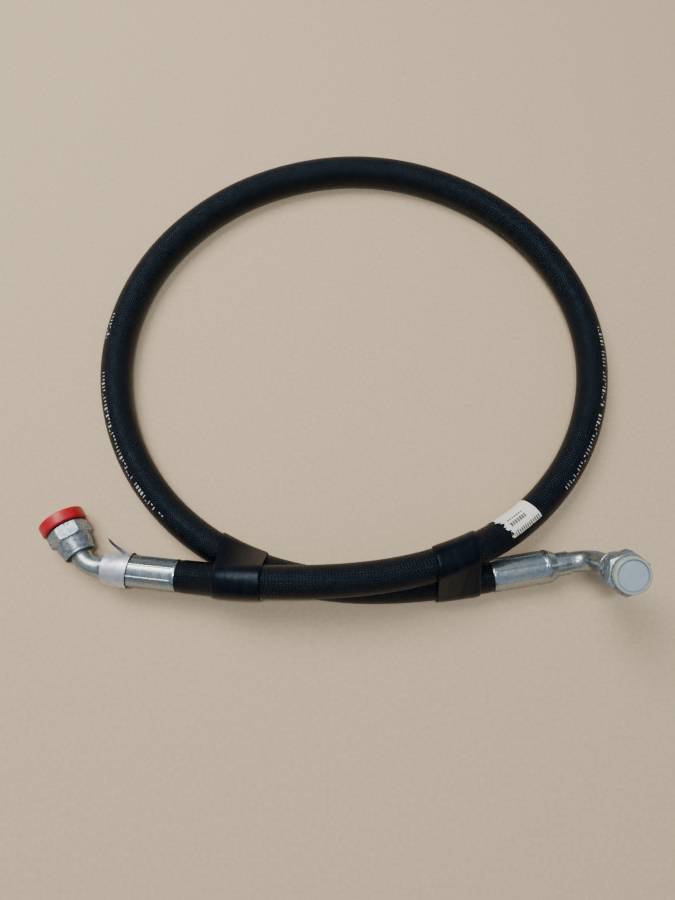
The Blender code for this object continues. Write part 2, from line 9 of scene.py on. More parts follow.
import bmesh
import bpy
import numpy as np
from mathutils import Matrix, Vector


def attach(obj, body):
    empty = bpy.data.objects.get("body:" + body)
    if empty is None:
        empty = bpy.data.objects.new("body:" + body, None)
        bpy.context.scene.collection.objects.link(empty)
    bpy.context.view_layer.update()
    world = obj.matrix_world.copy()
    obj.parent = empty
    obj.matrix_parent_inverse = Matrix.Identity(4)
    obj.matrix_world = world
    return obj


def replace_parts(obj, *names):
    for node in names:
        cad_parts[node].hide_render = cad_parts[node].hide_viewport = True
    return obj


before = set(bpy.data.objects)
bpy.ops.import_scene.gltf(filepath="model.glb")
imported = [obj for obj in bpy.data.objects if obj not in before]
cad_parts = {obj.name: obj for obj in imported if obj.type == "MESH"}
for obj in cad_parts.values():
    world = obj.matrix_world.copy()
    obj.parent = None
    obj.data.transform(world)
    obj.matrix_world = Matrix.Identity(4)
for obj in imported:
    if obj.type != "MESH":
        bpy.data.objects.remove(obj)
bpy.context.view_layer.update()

ROOT = "hose_and_fittings"
rng = np.random.default_rng(12)

# ---- sizes and places, as in the part ----

GAP = 0.0003
HOSE_RADIUS = 0.01535
HOSE_WALL = 0.0005
CRIMP_SQUEEZE = 0.88
CRIMP_RUN_IN = 0.0080
HOSE_LEAD = 0.0060
WRAP_PITCH = 0.0029
WRAP_DEPTH = 0.00016
HOSE_TAIL = 0.0200  # how far the drawn hose reaches into each ferrule

FERRULE_RADIUS = 0.0158
MOUTH_RADIUS = 0.01524
MOUTH_BORE = 0.01484
CRIMP_DIES = 8
CRIMP_DEPTH = 0.00045
CRIMP_RIDGE = 0.0006
FERRULE_LENGTH = 0.0615
FERRULE_NOSE = 0.0070
LIP_START = 0.0513
LIP_LENGTH = 0.0060
TUBE_RADIUS = 0.009525
TUBE_BORE = 0.007425
COLLAR_RADIUS = 0.011025
COLLAR_START = 0.0576
COLLAR_END = 0.0750
SOCKET_START = 0.0635
STEM_NIPPLE = 0.00732
STEM_BORE = 0.00582
STEM_TIP = 0.0060
BARBS = 4
BARB_PITCH = 0.0090
BARB_DEPTH = 0.0005
BARB_STEP = 0.0014

NUT_ACROSS_FLATS = 0.0349
NUT_LENGTH = 0.0300
NUT_SKIRT = 0.0155
NUT_SKIRT_RADIUS = 0.0148
NUT_THREAD_RADIUS = 0.0141
NUT_SHOULDER = 0.0050
NUT_CHAMFER = 0.0013
THREAD_PITCH = 0.002117
THREAD_DEPTH = 0.0006
SEAL_DEPTH = 0.0120
SEAL_FACE = NUT_LENGTH - SEAL_DEPTH
SLEEVE_PLAY = 0.0004
SLEEVE_HUB_WALL = 0.0019
SLEEVE_START = 0.0032  # farther into the nut's back than the part's, so that a dark gap shows
SLEEVE_RADIUS = NUT_THREAD_RADIUS - SLEEVE_PLAY
SLEEVE_HUB_RADIUS = TUBE_RADIUS + GAP + SLEEVE_HUB_WALL
SLEEVE_FACE_WALL = 0.0040
PLUG_SHANK = 0.0090
PLUG_WALL = 0.0015
PLUG_RIM = 0.0029
PLUG_RECESS = 0.0015

TAG_START = 0.0460
TAG_LENGTH = 0.0240
TAG_WALL = 0.0005
TAG_TAPER = 0.0014
TAG_SLACK = 0.0003  # the drawn band stands off the ferrule by this more than the part's
FLAG_TURN = -38.0  # degrees round the ferrule from the bend's side
FLAG_HEIGHT = 0.0078
FLAG_REACH = 0.0128
FLAG_WALL = 0.0004
FLAG_ROOT = 0.0004  # how far the flag's root is sunk in the band
FLAG_APART = 0.0042  # between the tips of its two leaves

LABEL_MIDDLE = 0.3315  # along the hose from the left ferrule's mouth
LABEL_LENGTH = 0.046
LABEL_FROM, LABEL_TO = -118.0, 31.0  # degrees round the hose from its top
LABEL_WALL = 0.00012
LABEL_PRINT_LIFT = 0.00045

PRINT_MARGIN = 0.05
PRINT_PITCH = 0.0037
PRINT_WORD = 0.030
PRINT_LIFT = 0.00006

TAPE_CLEARANCE = 0.0011
TAPE_WALL = 0.0009
TAPE_EDGE = 0.0005  # how much lower its outer skin lies at its two edges

LEFT_END = {
    "mouth": (-0.1450, -0.2182),
    "heading": 173.6,
    "climb": -4.0,
    "roll": 3.0,
    "bend": 50.0,
    "bend_radius": 0.0220,
    "before": 0.0038,
    "after": 0.0022,
    "nut_turn": -10.5,
    "plug_flange_radius": 0.02165,
    "plug_flange": 0.0112,
}
RIGHT_END = {
    "mouth": (0.1485, -0.2173),
    "heading": 9.5,
    "climb": 0.6,
    "roll": 74.5,
    "bend": 90.0,
    "bend_radius": 0.0195,
    "before": 0.0030,
    "after": 0.0300,
    "nut_turn": -16.0,
    "plug_flange_radius": 0.0162,
    "plug_flange": 0.0070,
}

# x, y and lift off the floor in hose diameters, from the left ferrule round to the right one
ROUTE = [
    (-0.1040, -0.2230, 0.74),
    (-0.0600, -0.2253, 1.02),
    (-0.0120, -0.2250, 1.09),
    (0.0380, -0.2210, 1.08),
    (0.0860, -0.2115, 0.99),
    (0.1310, -0.1950, 0.74),
    (0.1720, -0.1715, 0.32),
    (0.2090, -0.1390, 0.06),
    (0.2390, -0.0975, 0.01),
    (0.2585, -0.0480, 0.0),
    (0.2650, 0.0055, 0.0),
    (0.2575, 0.0580, 0.0),
    (0.2365, 0.1080, 0.0),
    (0.2035, 0.1525, 0.0),
    (0.1600, 0.1885, 0.0),
    (0.1100, 0.2135, 0.0),
    (0.0560, 0.2275, 0.0),
    (0.0000, 0.2290, 0.0),
    (-0.0550, 0.2180, 0.0),
    (-0.1070, 0.1955, 0.0),
    (-0.1525, 0.1615, 0.0),
    (-0.1890, 0.1185, 0.0),
    (-0.2135, 0.0680, 0.0),
    (-0.2245, 0.0125, 0.0),
    (-0.2210, -0.0405, 0.0),
    (-0.2040, -0.0925, 0.0),
    (-0.1725, -0.1415, 0.005),
    (-0.1305, -0.1800, 0.03),
    (-0.0820, -0.2065, 0.06),
    (-0.0285, -0.2220, 0.06),
    (0.0265, -0.2280, 0.06),
    (0.0880, -0.2255, 0.06),
]

# ---- camera ----

camera_data = bpy.data.cameras.new("camera")
camera_data.lens = 27.04
camera_data.sensor_width = 36.0
camera = bpy.data.objects.new("camera", camera_data)
camera.location = (0.003, -0.268, 0.666)
camera.rotation_euler = (math.radians(15.0), 0.0, 0.0)
bpy.context.scene.collection.objects.link(camera)
bpy.context.scene.camera = camera


# ---- arrays: frames, profiles and the route ----


def turn_about(axis, degrees):
    """A 3 x 3 turn about local X, Y or Z."""
    c, s = math.cos(math.radians(degrees)), math.sin(math.radians(degrees))
    j, k = [(1, 2), (2, 0), (0, 1)]["XYZ".index(axis)]
    turned = np.eye(3)
    turned[j, j] = turned[k, k] = c
    turned[k, j], turned[j, k] = s, -s
    return turned


def corner_distance(end):
    """From the ferrule's mouth to where the bend's two centre lines meet."""
    return COLLAR_END + end["before"] + end["bend_radius"] * math.tan(math.radians(end["bend"]) / 2)


def fitting_frame(end, height):
    """Axes and origin of a ferrule: Z out along its axis from its mouth, X to the bend's side."""
    heading, climb, roll = (math.radians(end[key]) for key in ("heading", "climb", "roll"))
    level = np.array([math.cos(heading), math.sin(heading), 0.0])
    axis = level * math.cos(climb) + np.array([0, 0, math.sin(climb)])
    right = np.cross(level, [0, 0, 1])
    side = right * math.cos(roll) + np.cross(right, axis) * math.sin(roll)
    return np.stack([side, np.cross(axis, side), axis], axis=1), np.array([*end["mouth"], height])


def swivel_frame(end, fitting):
    """Axes and origin of a nut: Z out along its axis from its back."""
    axes, origin = fitting
    half = math.tan(math.radians(end["bend"]) / 2)
    turned = axes @ turn_about("Y", end["bend"])
    corner = origin + axes[:, 2] * corner_distance(end)
    return turned, corner + turned[:, 2] * (end["bend_radius"] * half + end["after"])


left_drop = corner_distance(LEFT_END) * math.sin(math.radians(LEFT_END["climb"]))
LEFT_FITTING = fitting_frame(LEFT_END, LEFT_END["plug_flange_radius"] + GAP - left_drop)
RIGHT_FITTING = fitting_frame(RIGHT_END, FERRULE_RADIUS + GAP)
LEFT_SWIVEL = swivel_frame(LEFT_END, LEFT_FITTING)
RIGHT_SWIVEL = swivel_frame(RIGHT_END, RIGHT_FITTING)


def placed(points, place):
    """Local points carried into a frame of axes and origin."""
    axes, origin = place
    return points @ axes.T + origin


def clamped_spline(points, first_slope, last_slope, samples):
    """A cubic spline through the points with set end directions, read evenly along it."""
    points = np.array(points)
    steps = np.linalg.norm(np.diff(points, axis=0), axis=1)
    knots = np.concatenate([[0.0], np.cumsum(steps)])
    slopes = np.diff(points, axis=0) / steps[:, None]
    count = len(points)
    sides = np.concatenate([steps, [0.0]])
    matrix = np.diag(2 * (sides + np.roll(sides, 1))) + np.diag(steps, 1) + np.diag(steps, -1)
    matrix[0, 0], matrix[-1, -1] = 2 * steps[0], 2 * steps[-1]
    right = 6 * np.diff(np.vstack([first_slope, slopes, last_slope]), axis=0)
    bends = np.linalg.solve(matrix, right)
    fine = np.linspace(0.0, knots[-1], 40 * count)
    span = np.clip(np.searchsorted(knots, fine) - 1, 0, count - 2)
    step = steps[span, None]
    into = fine[:, None] - knots[span, None]
    left = step - into
    curve = (
        (bends[span] * left**3 + bends[span + 1] * into**3) / (6 * step)
        + (points[span] / step - bends[span] * step / 6) * left
        + (points[span + 1] / step - bends[span + 1] * step / 6) * into
    )
    run = np.concatenate([[0.0], np.cumsum(np.linalg.norm(np.diff(curve, axis=0), axis=1))])
    even = np.linspace(0.0, run[-1], samples)
    return np.stack([np.interp(even, run, curve[:, k]) for k in range(3)], axis=1)


def hose_route(samples=600):
    """The hose's centre line, straight for a tail inside each ferrule."""
    left_out, right_out = LEFT_FITTING[0][:, 2], RIGHT_FITTING[0][:, 2]
    left, right = LEFT_FITTING[1], RIGHT_FITTING[1]
    free = [(x, y, HOSE_RADIUS + lift * 2 * HOSE_RADIUS) for x, y, lift in ROUTE]
    ends = [left - HOSE_LEAD * left_out, *free, right - HOSE_LEAD * right_out]
    between = clamped_spline(ends, -left_out, right_out, samples)
    tail = np.linspace(HOSE_TAIL, -HOSE_LEAD, 13)[:-1, None]
    return np.vstack([left + tail * left_out, between, right + tail[::-1] * right_out])


class Hose:
    """The route as arrays: points, distance along it, direction, outer side and upper side."""

    line = hose_route()
    steps = np.linalg.norm(np.diff(line, axis=0), axis=1)
    along = np.concatenate([[0.0], np.cumsum(steps)]) - HOSE_TAIL
    length = along[-1] - HOSE_TAIL
    ahead = np.gradient(line, axis=0)
    ahead /= np.linalg.norm(ahead, axis=1)[:, None]
    outer = np.cross(ahead, [0, 0, 1.0])
    outer /= np.linalg.norm(outer, axis=1)[:, None]
    upper = np.cross(outer, ahead)


def hose_radius_at(along):
    """The hose's radius: full between the ferrules, squeezed where the crimp grips it."""
    inside = np.maximum(-along, along - Hose.length)
    share = np.clip((inside + HOSE_LEAD) / (HOSE_LEAD + CRIMP_RUN_IN), 0, 1)
    return HOSE_RADIUS * (1 - (1 - CRIMP_SQUEEZE) * share)


def on_hose(along, angle, lift):
    """Points on the hose: distance along it, angle from its top to its outer side, height."""
    read = lambda values: np.stack([np.interp(along, Hose.along, v) for v in values.T], axis=-1)
    radius = (hose_radius_at(along) + lift)[..., None]
    outwards = read(Hose.outer) * np.sin(angle)[..., None]
    round_it = outwards + read(Hose.upper) * np.cos(angle)[..., None]
    return read(Hose.line) + radius * round_it / np.linalg.norm(round_it, axis=-1, keepdims=True)


def filleted(profile, radius, steps=3):
    """A closed outline with each corner swapped for a small arc: a quadratic curve between
    two points set back from the corner by the radius, or by less where a side is short."""
    corners = np.array(profile)
    to_last = np.roll(corners, 1, axis=0) - corners
    to_next = np.roll(corners, -1, axis=0) - corners
    sides = [np.linalg.norm(v, axis=1)[:, None] for v in (to_last, to_next)]
    back = [np.minimum(radius, 0.45 * side) / side for side in sides]
    first, last = corners + to_last * back[0], corners + to_next * back[1]
    t = np.linspace(0, 1, steps + 1)[None, :, None]
    arcs = first[:, None] * (1 - t) ** 2 + 2 * corners[:, None] * t * (1 - t) + last[:, None] * t**2
    return arcs.reshape(-1, 2)


def turned_grid(profile, place, sides=96):
    """A closed outline of (radius, height) carried round local Z."""
    angle = np.linspace(0, 2 * math.pi, sides, endpoint=False)[None, :]
    radius, height = np.array(profile).T[:, :, None]
    points = [radius * np.cos(angle), radius * np.sin(angle), height + 0 * angle]
    return placed(np.stack(points, axis=-1), place)


# ---- meshes ----


def finish_piece(mesh, name, look, body, closed):
    """Welds what meets, turns the faces outwards, smooths it and lets it ride on its body."""
    if closed:
        work = bmesh.new()
        work.from_mesh(mesh)
        bmesh.ops.remove_doubles(work, verts=work.verts, dist=1e-7)
        bmesh.ops.recalc_face_normals(work, faces=work.faces)
        work.to_mesh(mesh)
        work.free()
    mesh.shade_smooth()
    mesh.materials.append(look)
    piece = bpy.data.objects.new(name, mesh)
    bpy.context.scene.collection.objects.link(piece)
    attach(piece, body)
    return piece


def grid_piece(name, grid, look, body=ROOT, wrap_rows=False, wrap_cols=True, closed=True, lay=None):
    """Quads over rows and columns of points. A wrapped side joins its last points to its
    first. lay gives each row's and each column's place on the flat for the UV map."""
    rows, cols = grid.shape[:2]
    i, j = np.meshgrid(
        np.arange(rows if wrap_rows else rows - 1),
        np.arange(cols if wrap_cols else cols - 1),
        indexing="ij",
    )
    around = [(i, j), (i, j + 1), (i + 1, j + 1), (i + 1, j)]
    corner = np.stack([(a % rows) * cols + b % cols for a, b in around], axis=-1)
    mesh = bpy.data.meshes.new(name)
    mesh.vertices.add(rows * cols)
    mesh.vertices.foreach_set("co", grid.reshape(-1).astype(np.float32))
    mesh.loops.add(corner.size)
    mesh.loops.foreach_set("vertex_index", corner.reshape(-1).astype(np.int32))
    mesh.polygons.add(corner.size // 4)
    mesh.polygons.foreach_set("loop_start", np.arange(0, corner.size, 4, dtype=np.int32))
    mesh.update(calc_edges=True)
    if lay is not None:
        row_at, col_at = lay
        flat = np.stack([np.stack([row_at[a], col_at[b]], axis=-1) for a, b in around], axis=-2)
        mesh.uv_layers.new(name="lay").data.foreach_set("uv", flat.reshape(-1).astype(np.float32))
    mesh.validate()
    return finish_piece(mesh, name, look, body, closed)


def turned_piece(name, profile, place, look, body=ROOT, round_off=0.0003, sides=96):
    """A turned shape with small rounded edges."""
    outline = filleted(profile, round_off)
    return grid_piece(name, turned_grid(outline, place, sides), look, body, wrap_rows=True)


# ---- materials ----


class Finish:
    """A material and its shader, with short ways to add and join nodes."""

    def __init__(self, name, colour, roughness, metallic=0.0, more=()):
        self.material = bpy.data.materials.new(name)
        self.material.use_nodes = True
        self.tree = self.material.node_tree
        self.shader = self.tree.nodes["Principled BSDF"]
        self.shader.inputs["Base Color"].default_value = (*colour, 1.0)
        self.shader.inputs["Roughness"].default_value = roughness
        self.shader.inputs["Metallic"].default_value = metallic
        for socket, value in dict(more).items():
            self.shader.inputs[socket].default_value = value

    def node(self, kind, inputs=(), **settings):
        made = self.tree.nodes.new("ShaderNode" + kind)
        for key, value in settings.items():
            setattr(made, key, value)
        for socket, value in dict(inputs).items():
            if isinstance(value, bpy.types.NodeSocket):
                self.tree.links.new(value, made.inputs[socket])
            else:
                made.inputs[socket].default_value = value
        return made

    def place(self, turn=0.0, stretch=(1.0, 1.0, 1.0), flat=False):
        """Object coordinates, or the flat lay of the surface, turned and stretched."""
        if flat:
            source = self.node("UVMap", uv_map="lay").outputs["UV"]
        else:
            source = self.node("TexCoord").outputs["Object"]
        rotation = (0.0, 0.0, math.radians(turn))
        inputs = {"Vector": source, "Rotation": rotation, "Scale": stretch}
        return self.node("Mapping", inputs).outputs["Vector"]

    def noise(self, size, detail=3.0, at=None, roughness=0.55):
        """Cloudy noise whose blotches are about as wide as size."""
        inputs = {"Vector": at or self.place(), "Scale": 1 / size, "Detail": detail}
        return self.node("TexNoise", {**inputs, "Roughness": roughness}).outputs["Fac"]

    def bands(self, pitch, at, wander=0.0):
        """Soft parallel ridges across X, one every pitch."""
        inputs = {"Vector": at, "Scale": math.pi / 10 / pitch, "Distortion": wander}
        return self.node("TexWave", {**inputs, "Detail": 2.0}).outputs["Fac"]

    def sums(self, kind, a, b, clamp=False):
        return self.node("Math", {0: a, 1: b}, operation=kind, use_clamp=clamp).outputs["Value"]

    def ramp(self, value, low, high, start=0.3, end=0.7):
        """A value spread from low at start to high at end."""
        inputs = {"Value": value, "From Min": start, "From Max": end, "To Min": low, "To Max": high}
        return self.node("MapRange", inputs).outputs["Result"]

    def blend(self, amount, a, b):
        """Colour a where amount is 0, b where it is 1."""
        made = self.node("Mix", data_type="RGBA")
        self.tree.links.new(amount, made.inputs[0])
        for socket, value in ((6, a), (7, b)):
            if isinstance(value, bpy.types.NodeSocket):
                self.tree.links.new(value, made.inputs[socket])
            else:
                made.inputs[socket].default_value = (*value, 1.0)
        return made.outputs[2]

    def colour(self, value):
        self.tree.links.new(value, self.shader.inputs["Base Color"])

    def roughness(self, value):
        self.tree.links.new(value, self.shader.inputs["Roughness"])

    def relief(self, height, depth, strength=1.0):
        inputs = {"Height": height, "Distance": depth, "Strength": strength}
        made = self.node("Bump", inputs)
        self.tree.links.new(made.outputs["Normal"], self.shader.inputs["Normal"])
        return self


BLUE_SHEEN = {"IOR": 1.27, "Specular Tint": (0.60, 0.78, 1.0, 1.0)}
DARK_EDGE = {"Specular Tint": (0.42, 0.45, 0.50, 1.0)}  # plating dims where it turns away


def cover_rubber():
    """Near-black rubber with the wrapping cloth's print: a low ridge at each turn of the cloth,
    its fine crossed threads, and a painted blue sheen, partly dust, along the threads' tops."""
    rubber = Finish("cover_rubber", (0.004, 0.006, 0.010), 0.24, more=BLUE_SHEEN)
    ridge = rubber.bands(WRAP_PITCH, rubber.place(turn=6.0, flat=True), wander=1.5)
    warp = rubber.bands(0.0018, rubber.place(turn=50.0, flat=True), wander=0.5)
    weft = rubber.bands(0.0018, rubber.place(turn=-50.0, flat=True), wander=0.5)
    cloth = rubber.sums("MULTIPLY", warp, weft)
    patchy = rubber.noise(0.007, detail=4.0)
    worn = rubber.sums("MULTIPLY", cloth, rubber.ramp(patchy, 0.7, 1.3, 0.35, 0.65))
    height = rubber.sums("ADD", rubber.sums("MULTIPLY", ridge, 0.5), worn)
    crest = rubber.ramp(height, 0.0, 1.0, 0.35, 1.35)
    # painted sheen, partly dust: a lighter blue on the threads' crests
    crest_dust_and_sheen = rubber.sums("MULTIPLY", crest, rubber.ramp(rubber.noise(0.025), 0.45, 1.0))
    rubber.colour(rubber.blend(crest_dust_and_sheen, (0.0004, 0.0007, 0.0014), (0.0045, 0.0088, 0.0180)))
    rubber.roughness(rubber.ramp(height, 0.38, 0.14, 0.3, 1.2))
    return rubber.relief(height, 0.00045, 1.0).material


def zinc(name="zinc_plating", streak=(1.0, 1.0, 1.0), smooth=0.16, rough=0.30):
    """Bright zinc plating over turned steel: bluish, yellower in patches, faintly mottled."""
    plate = Finish(name, (0.45, 0.49, 0.53), 0.26, 0.93, DARK_EDGE)
    tint = plate.ramp(plate.noise(0.018, detail=2.0), 0.0, 1.0, 0.35, 0.65)
    fresh = plate.blend(tint, (0.38, 0.45, 0.50), (0.46, 0.48, 0.45))
    specks = plate.noise(0.0020, detail=4.0, at=plate.place(stretch=streak))
    spots = plate.ramp(specks, 0.0, 0.6, 0.45)
    plate.colour(plate.blend(spots, fresh, (0.20, 0.23, 0.25)))
    plate.roughness(plate.ramp(plate.noise(0.005, detail=5.0), smooth, rough, 0.3, 0.7))
    grain = plate.noise(0.0012, detail=3.0, at=plate.place(stretch=streak))
    return plate.relief(grain, 0.00003, 0.5).material


def dull_zinc():
    """Zinc on the forged nuts: greyer, with a fine even grain."""
    plate = Finish("nut_zinc", (0.45, 0.47, 0.48), 0.34, 0.72, DARK_EDGE)
    blotch = plate.ramp(plate.noise(0.003, detail=6.0), 0.0, 1.0, 0.38, 0.62)
    plate.colour(plate.blend(blotch, (0.40, 0.45, 0.49), (0.19, 0.225, 0.25)))
    plate.roughness(plate.ramp(plate.noise(0.0025, detail=4.0), 0.24, 0.42))
    return plate.relief(plate.noise(0.0008, detail=4.0), 0.00007, 0.7).material


def red_plastic():
    plastic = Finish("red_plastic", (0.62, 0.01, 0.015), 0.38)
    cloudy = plastic.ramp(plastic.noise(0.012), 0.0, 1.0)
    plastic.colour(plastic.blend(cloudy, (0.36, 0.003, 0.011), (0.50, 0.007, 0.018)))
    plastic.roughness(plastic.ramp(plastic.noise(0.004, detail=5.0), 0.30, 0.50))
    return plastic.relief(plastic.noise(0.0012, detail=4.0), 0.00006, 0.6).material


def milky_plastic(centre, disc_radius):
    """Thin milky plastic with moulding haze and scuffs: a bluish disc inside a creamier rim,
    with painted shade along the step where they meet, by distance from the middle of its face."""
    plastic = Finish("milky_plastic", (0.50, 0.55, 0.58), 0.30, more={"Transmission Weight": 0.2})
    haze = plastic.ramp(plastic.noise(0.006, detail=4.0), 0.0, 1.0)
    disc = plastic.blend(haze, (0.34, 0.43, 0.50), (0.42, 0.51, 0.58))
    rim = plastic.blend(haze, (0.36, 0.40, 0.37), (0.45, 0.49, 0.45))
    at = plastic.node("TexCoord").outputs["Object"]
    away = plastic.node("VectorMath", {0: at, 1: tuple(centre)}, operation="DISTANCE")
    reach = away.outputs["Value"]
    outside = plastic.ramp(reach, 0.0, 1.0, disc_radius - 0.0002, disc_radius + 0.0006)
    line = plastic.sums("ABSOLUTE", plastic.sums("SUBTRACT", reach, disc_radius), 0.0)
    # painted shade: a darker ring where the face steps down into the recess
    dark = plastic.ramp(line, 1.0, 0.0, 0.0003, 0.0009)
    plastic.colour(plastic.blend(dark, plastic.blend(outside, disc, rim), (0.24, 0.27, 0.28)))
    plastic.roughness(plastic.ramp(plastic.noise(0.002, detail=5.0), 0.24, 0.46))
    return plastic.relief(plastic.noise(0.0015, detail=4.0), 0.00005, 0.6).material


def black_tape():
    """Smooth vinyl tape, drawn into long soft folds where it spans the two hoses."""
    tape = Finish("black_tape", (0.008, 0.009, 0.014), 0.3, more=BLUE_SHEEN)
    folds = tape.noise(0.011, detail=2.0, at=tape.place(stretch=(1.6, 0.35, 0.5)))
    sheen = tape.ramp(folds, 0.0, 1.0)
    tape.colour(tape.blend(sheen, (0.0009, 0.0012, 0.0022), (0.003, 0.0045, 0.0085)))
    tape.roughness(tape.ramp(tape.noise(0.003, detail=4.0), 0.26, 0.42))
    return tape.relief(folds, 0.0011, 0.55).material


def foil(name, dull, bright):
    sheet = Finish(name, dull, 0.40, metallic=0.75)
    cells = sheet.node("TexVoronoi", {"Vector": sheet.place(), "Scale": 160.0})
    creases = cells.outputs["Distance"]
    soft = sheet.noise(0.007, detail=3.0)
    sheet.colour(sheet.blend(sheet.ramp(soft, 0.0, 1.0), dull, bright))
    sheet.roughness(sheet.ramp(sheet.noise(0.003, detail=4.0), 0.32, 0.50))
    return sheet.relief(sheet.sums("ADD", soft, creases), 0.00022, 0.5).material


def paper():
    paper = Finish("label_paper", (0.80, 0.75, 0.66), 0.7)
    fibre = paper.noise(0.0012, detail=6.0)
    stain = paper.ramp(paper.noise(0.012, detail=3.0), 0.0, 1.0)
    paper.colour(paper.blend(stain, (0.92, 0.89, 0.80), (0.80, 0.74, 0.62)))
    paper.roughness(paper.ramp(fibre, 0.6, 0.85))
    return paper.relief(fibre, 0.00005, 0.7).material


def ink(name, dark, light, size=0.0009):
    """Print that is worn through in specks."""
    print_ink = Finish(name, light, 0.6)
    worn = print_ink.ramp(print_ink.noise(size, detail=4.0), 0.0, 1.0, 0.38, 0.60)
    print_ink.colour(print_ink.blend(worn, dark, light))
    return print_ink.relief(worn, 0.00002, 0.4).material


def plain_noisy(name, first, second, roughness, metallic=0.0, size=0.003):
    """A finish for what lies inside: two close colours in blotches, lightly grained."""
    inside = Finish(name, first, roughness, metallic)
    blotch = inside.noise(size, detail=4.0)
    inside.colour(inside.blend(inside.ramp(blotch, 0.0, 1.0), first, second))
    inside.roughness(inside.ramp(blotch, roughness * 0.8, min(1.0, roughness * 1.2)))
    return inside.relief(blotch, 0.0001, 0.5).material


COVER = cover_rubber()
PLATE = zinc()
TUBE_PLATE = zinc("tube_zinc", (1.0, 1.0, 0.4), 0.27, 0.40)
NUT_PLATE = dull_zinc()
RED = red_plastic()
plug_face = NUT_LENGTH + GAP + RIGHT_END["plug_flange"]
MILKY = milky_plastic(RIGHT_SWIVEL[1] + plug_face * RIGHT_SWIVEL[0][:, 2], 0.0133)
TAPE = black_tape()
FOIL = foil("foil", (0.53, 0.53, 0.60), (0.72, 0.71, 0.76))
# a darker copy of the foil, for painted shade on the flag's front leaf
SHADED_FOIL = foil("shaded_foil", (0.085, 0.085, 0.085), (0.20, 0.20, 0.19))
PAPER = paper()
WHITE_INK = ink("white_print", (0.10, 0.11, 0.12), (0.78, 0.80, 0.80))
BROWN_INK = ink("label_print", (0.14, 0.08, 0.05), (0.035, 0.018, 0.012), 0.0005)
GREY_INK = ink("label_small_print", (0.16, 0.13, 0.10), (0.05, 0.04, 0.036), 0.0004)
WIRE = plain_noisy("brassed_wire", (0.55, 0.42, 0.22), (0.42, 0.34, 0.20), 0.35, 1.0)
INNER_RUBBER = plain_noisy("inner_tube_rubber", (0.018, 0.018, 0.018), (0.03, 0.03, 0.032), 0.6)

for name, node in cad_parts.items():
    if name.startswith("spiral_wire") or name == "hose_inner_tube":
        look = WIRE if name.startswith("spiral") else INNER_RUBBER
        node.data.materials.clear()
        node.data.materials.append(look)


# ---- hose ----


def add_hose():
    """The cover: a ring carried along the route, out on its outer skin and back on its inner.
    Every other outer ring sinks a little, which leaves a ridge for each turn of the cloth."""
    sides = 40
    first, last = Hose.along[0], Hose.along[-1]
    turns = round((last - first) / WRAP_PITCH)
    outside = np.linspace(first, last, 2 * turns + 1)
    inside = np.linspace(last, first, 300)
    sink = np.where(np.arange(len(outside)) % 2, WRAP_DEPTH, 0.0)
    rows = np.concatenate([outside, inside])
    lift = np.concatenate([-sink, np.full(len(inside), -HOSE_WALL)])
    angle = np.linspace(0, 2 * math.pi, sides, endpoint=False)
    along = rows[:, None] + 0 * angle
    grid = on_hose(along, angle + 0 * along, lift[:, None] + 0 * along)
    row_at = np.append(rows, rows[0])
    col_at = np.linspace(0, 2 * math.pi * HOSE_RADIUS, sides + 1)
    hose = grid_piece("hose", grid, COVER, wrap_rows=True, lay=(row_at, col_at))
    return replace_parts(hose, "hose_cover")


def add_marks(name, along, angle, width, height, lift, look):
    """Small printed patches on the hose: each is a strip of quads between two distances along
    the hose and across an angle, all worked out together."""
    across = np.linspace(-0.5, 0.5, 4)
    ends = np.array([-0.5, 0.5])
    s = along[:, None, None] + width[:, None, None] * ends[None, :, None] + 0 * across
    turn = angle[:, None, None] + height[:, None, None] * across / HOSE_RADIUS + 0 * s
    points = on_hose(s, turn, lift + 0 * s).reshape(-1, 3)
    first = 8 * np.arange(len(along))[:, None, None] + np.arange(3)[None, :, None]
    quads = (first + np.array([0, 4, 5, 1])[None, None, :]).reshape(-1, 4)
    mesh = bpy.data.meshes.new(name)
    mesh.from_pydata(points.tolist(), [], quads.tolist())
    return finish_piece(mesh, name, look, ROOT, closed=False)


def add_print():
    """The hose's print as generic strokes, dashes and blocks in words of uneven length, along
    its two flanks a third of the way from its top to its outer side."""
    cells = np.arange(PRINT_MARGIN, Hose.length - PRINT_MARGIN, PRINT_PITCH)
    x, y = (np.interp(cells, Hose.along, Hose.line[:, k]) for k in (0, 1))
    flank = (np.abs(x) > 0.14) & (y < 0.05) & (y > np.where(x > 0, -0.135, -0.158))
    word = np.floor(cells / PRINT_WORD).astype(int)
    gap = rng.random(word.max() + 1)[word] < 0.22
    kind = rng.integers(0, 5, len(cells))
    keep = flank & ~gap & (rng.random(len(cells)) < 0.92)
    cells, kind = cells[keep], kind[keep]
    width = np.choose(kind, [0.0007, 0.0022, 0.0018, 0.0008, 0.0020])
    height = np.choose(kind, [0.0042, 0.0008, 0.0040, 0.0026, 0.0010])
    sway = np.choose(kind, [0.0, 0.11, 0.0, -0.05, -0.10])
    side = np.where(np.interp(cells, Hose.along, Hose.line[:, 0]) > 0, 32.0, 36.0)
    angle = np.radians(side) + sway
    marks = add_marks("print_line", cells, angle, width, height, PRINT_LIFT, WHITE_INK)


# ---- end fittings ----


def densified(profile, step=0.0012):
    """A closed outline with long sides cut into short ones."""
    corners = np.array(profile)
    following = np.roll(corners, -1, axis=0)
    counts = np.ceil(np.linalg.norm(following - corners, axis=1) / step).astype(int).clip(1)
    share = np.arange(counts.sum()) - np.repeat(np.cumsum(counts) - counts, counts)
    sides = np.repeat(following - corners, counts, axis=0)
    steps = sides * share[:, None] / np.repeat(counts, counts)[:, None]
    return np.repeat(corners, counts, axis=0) + steps


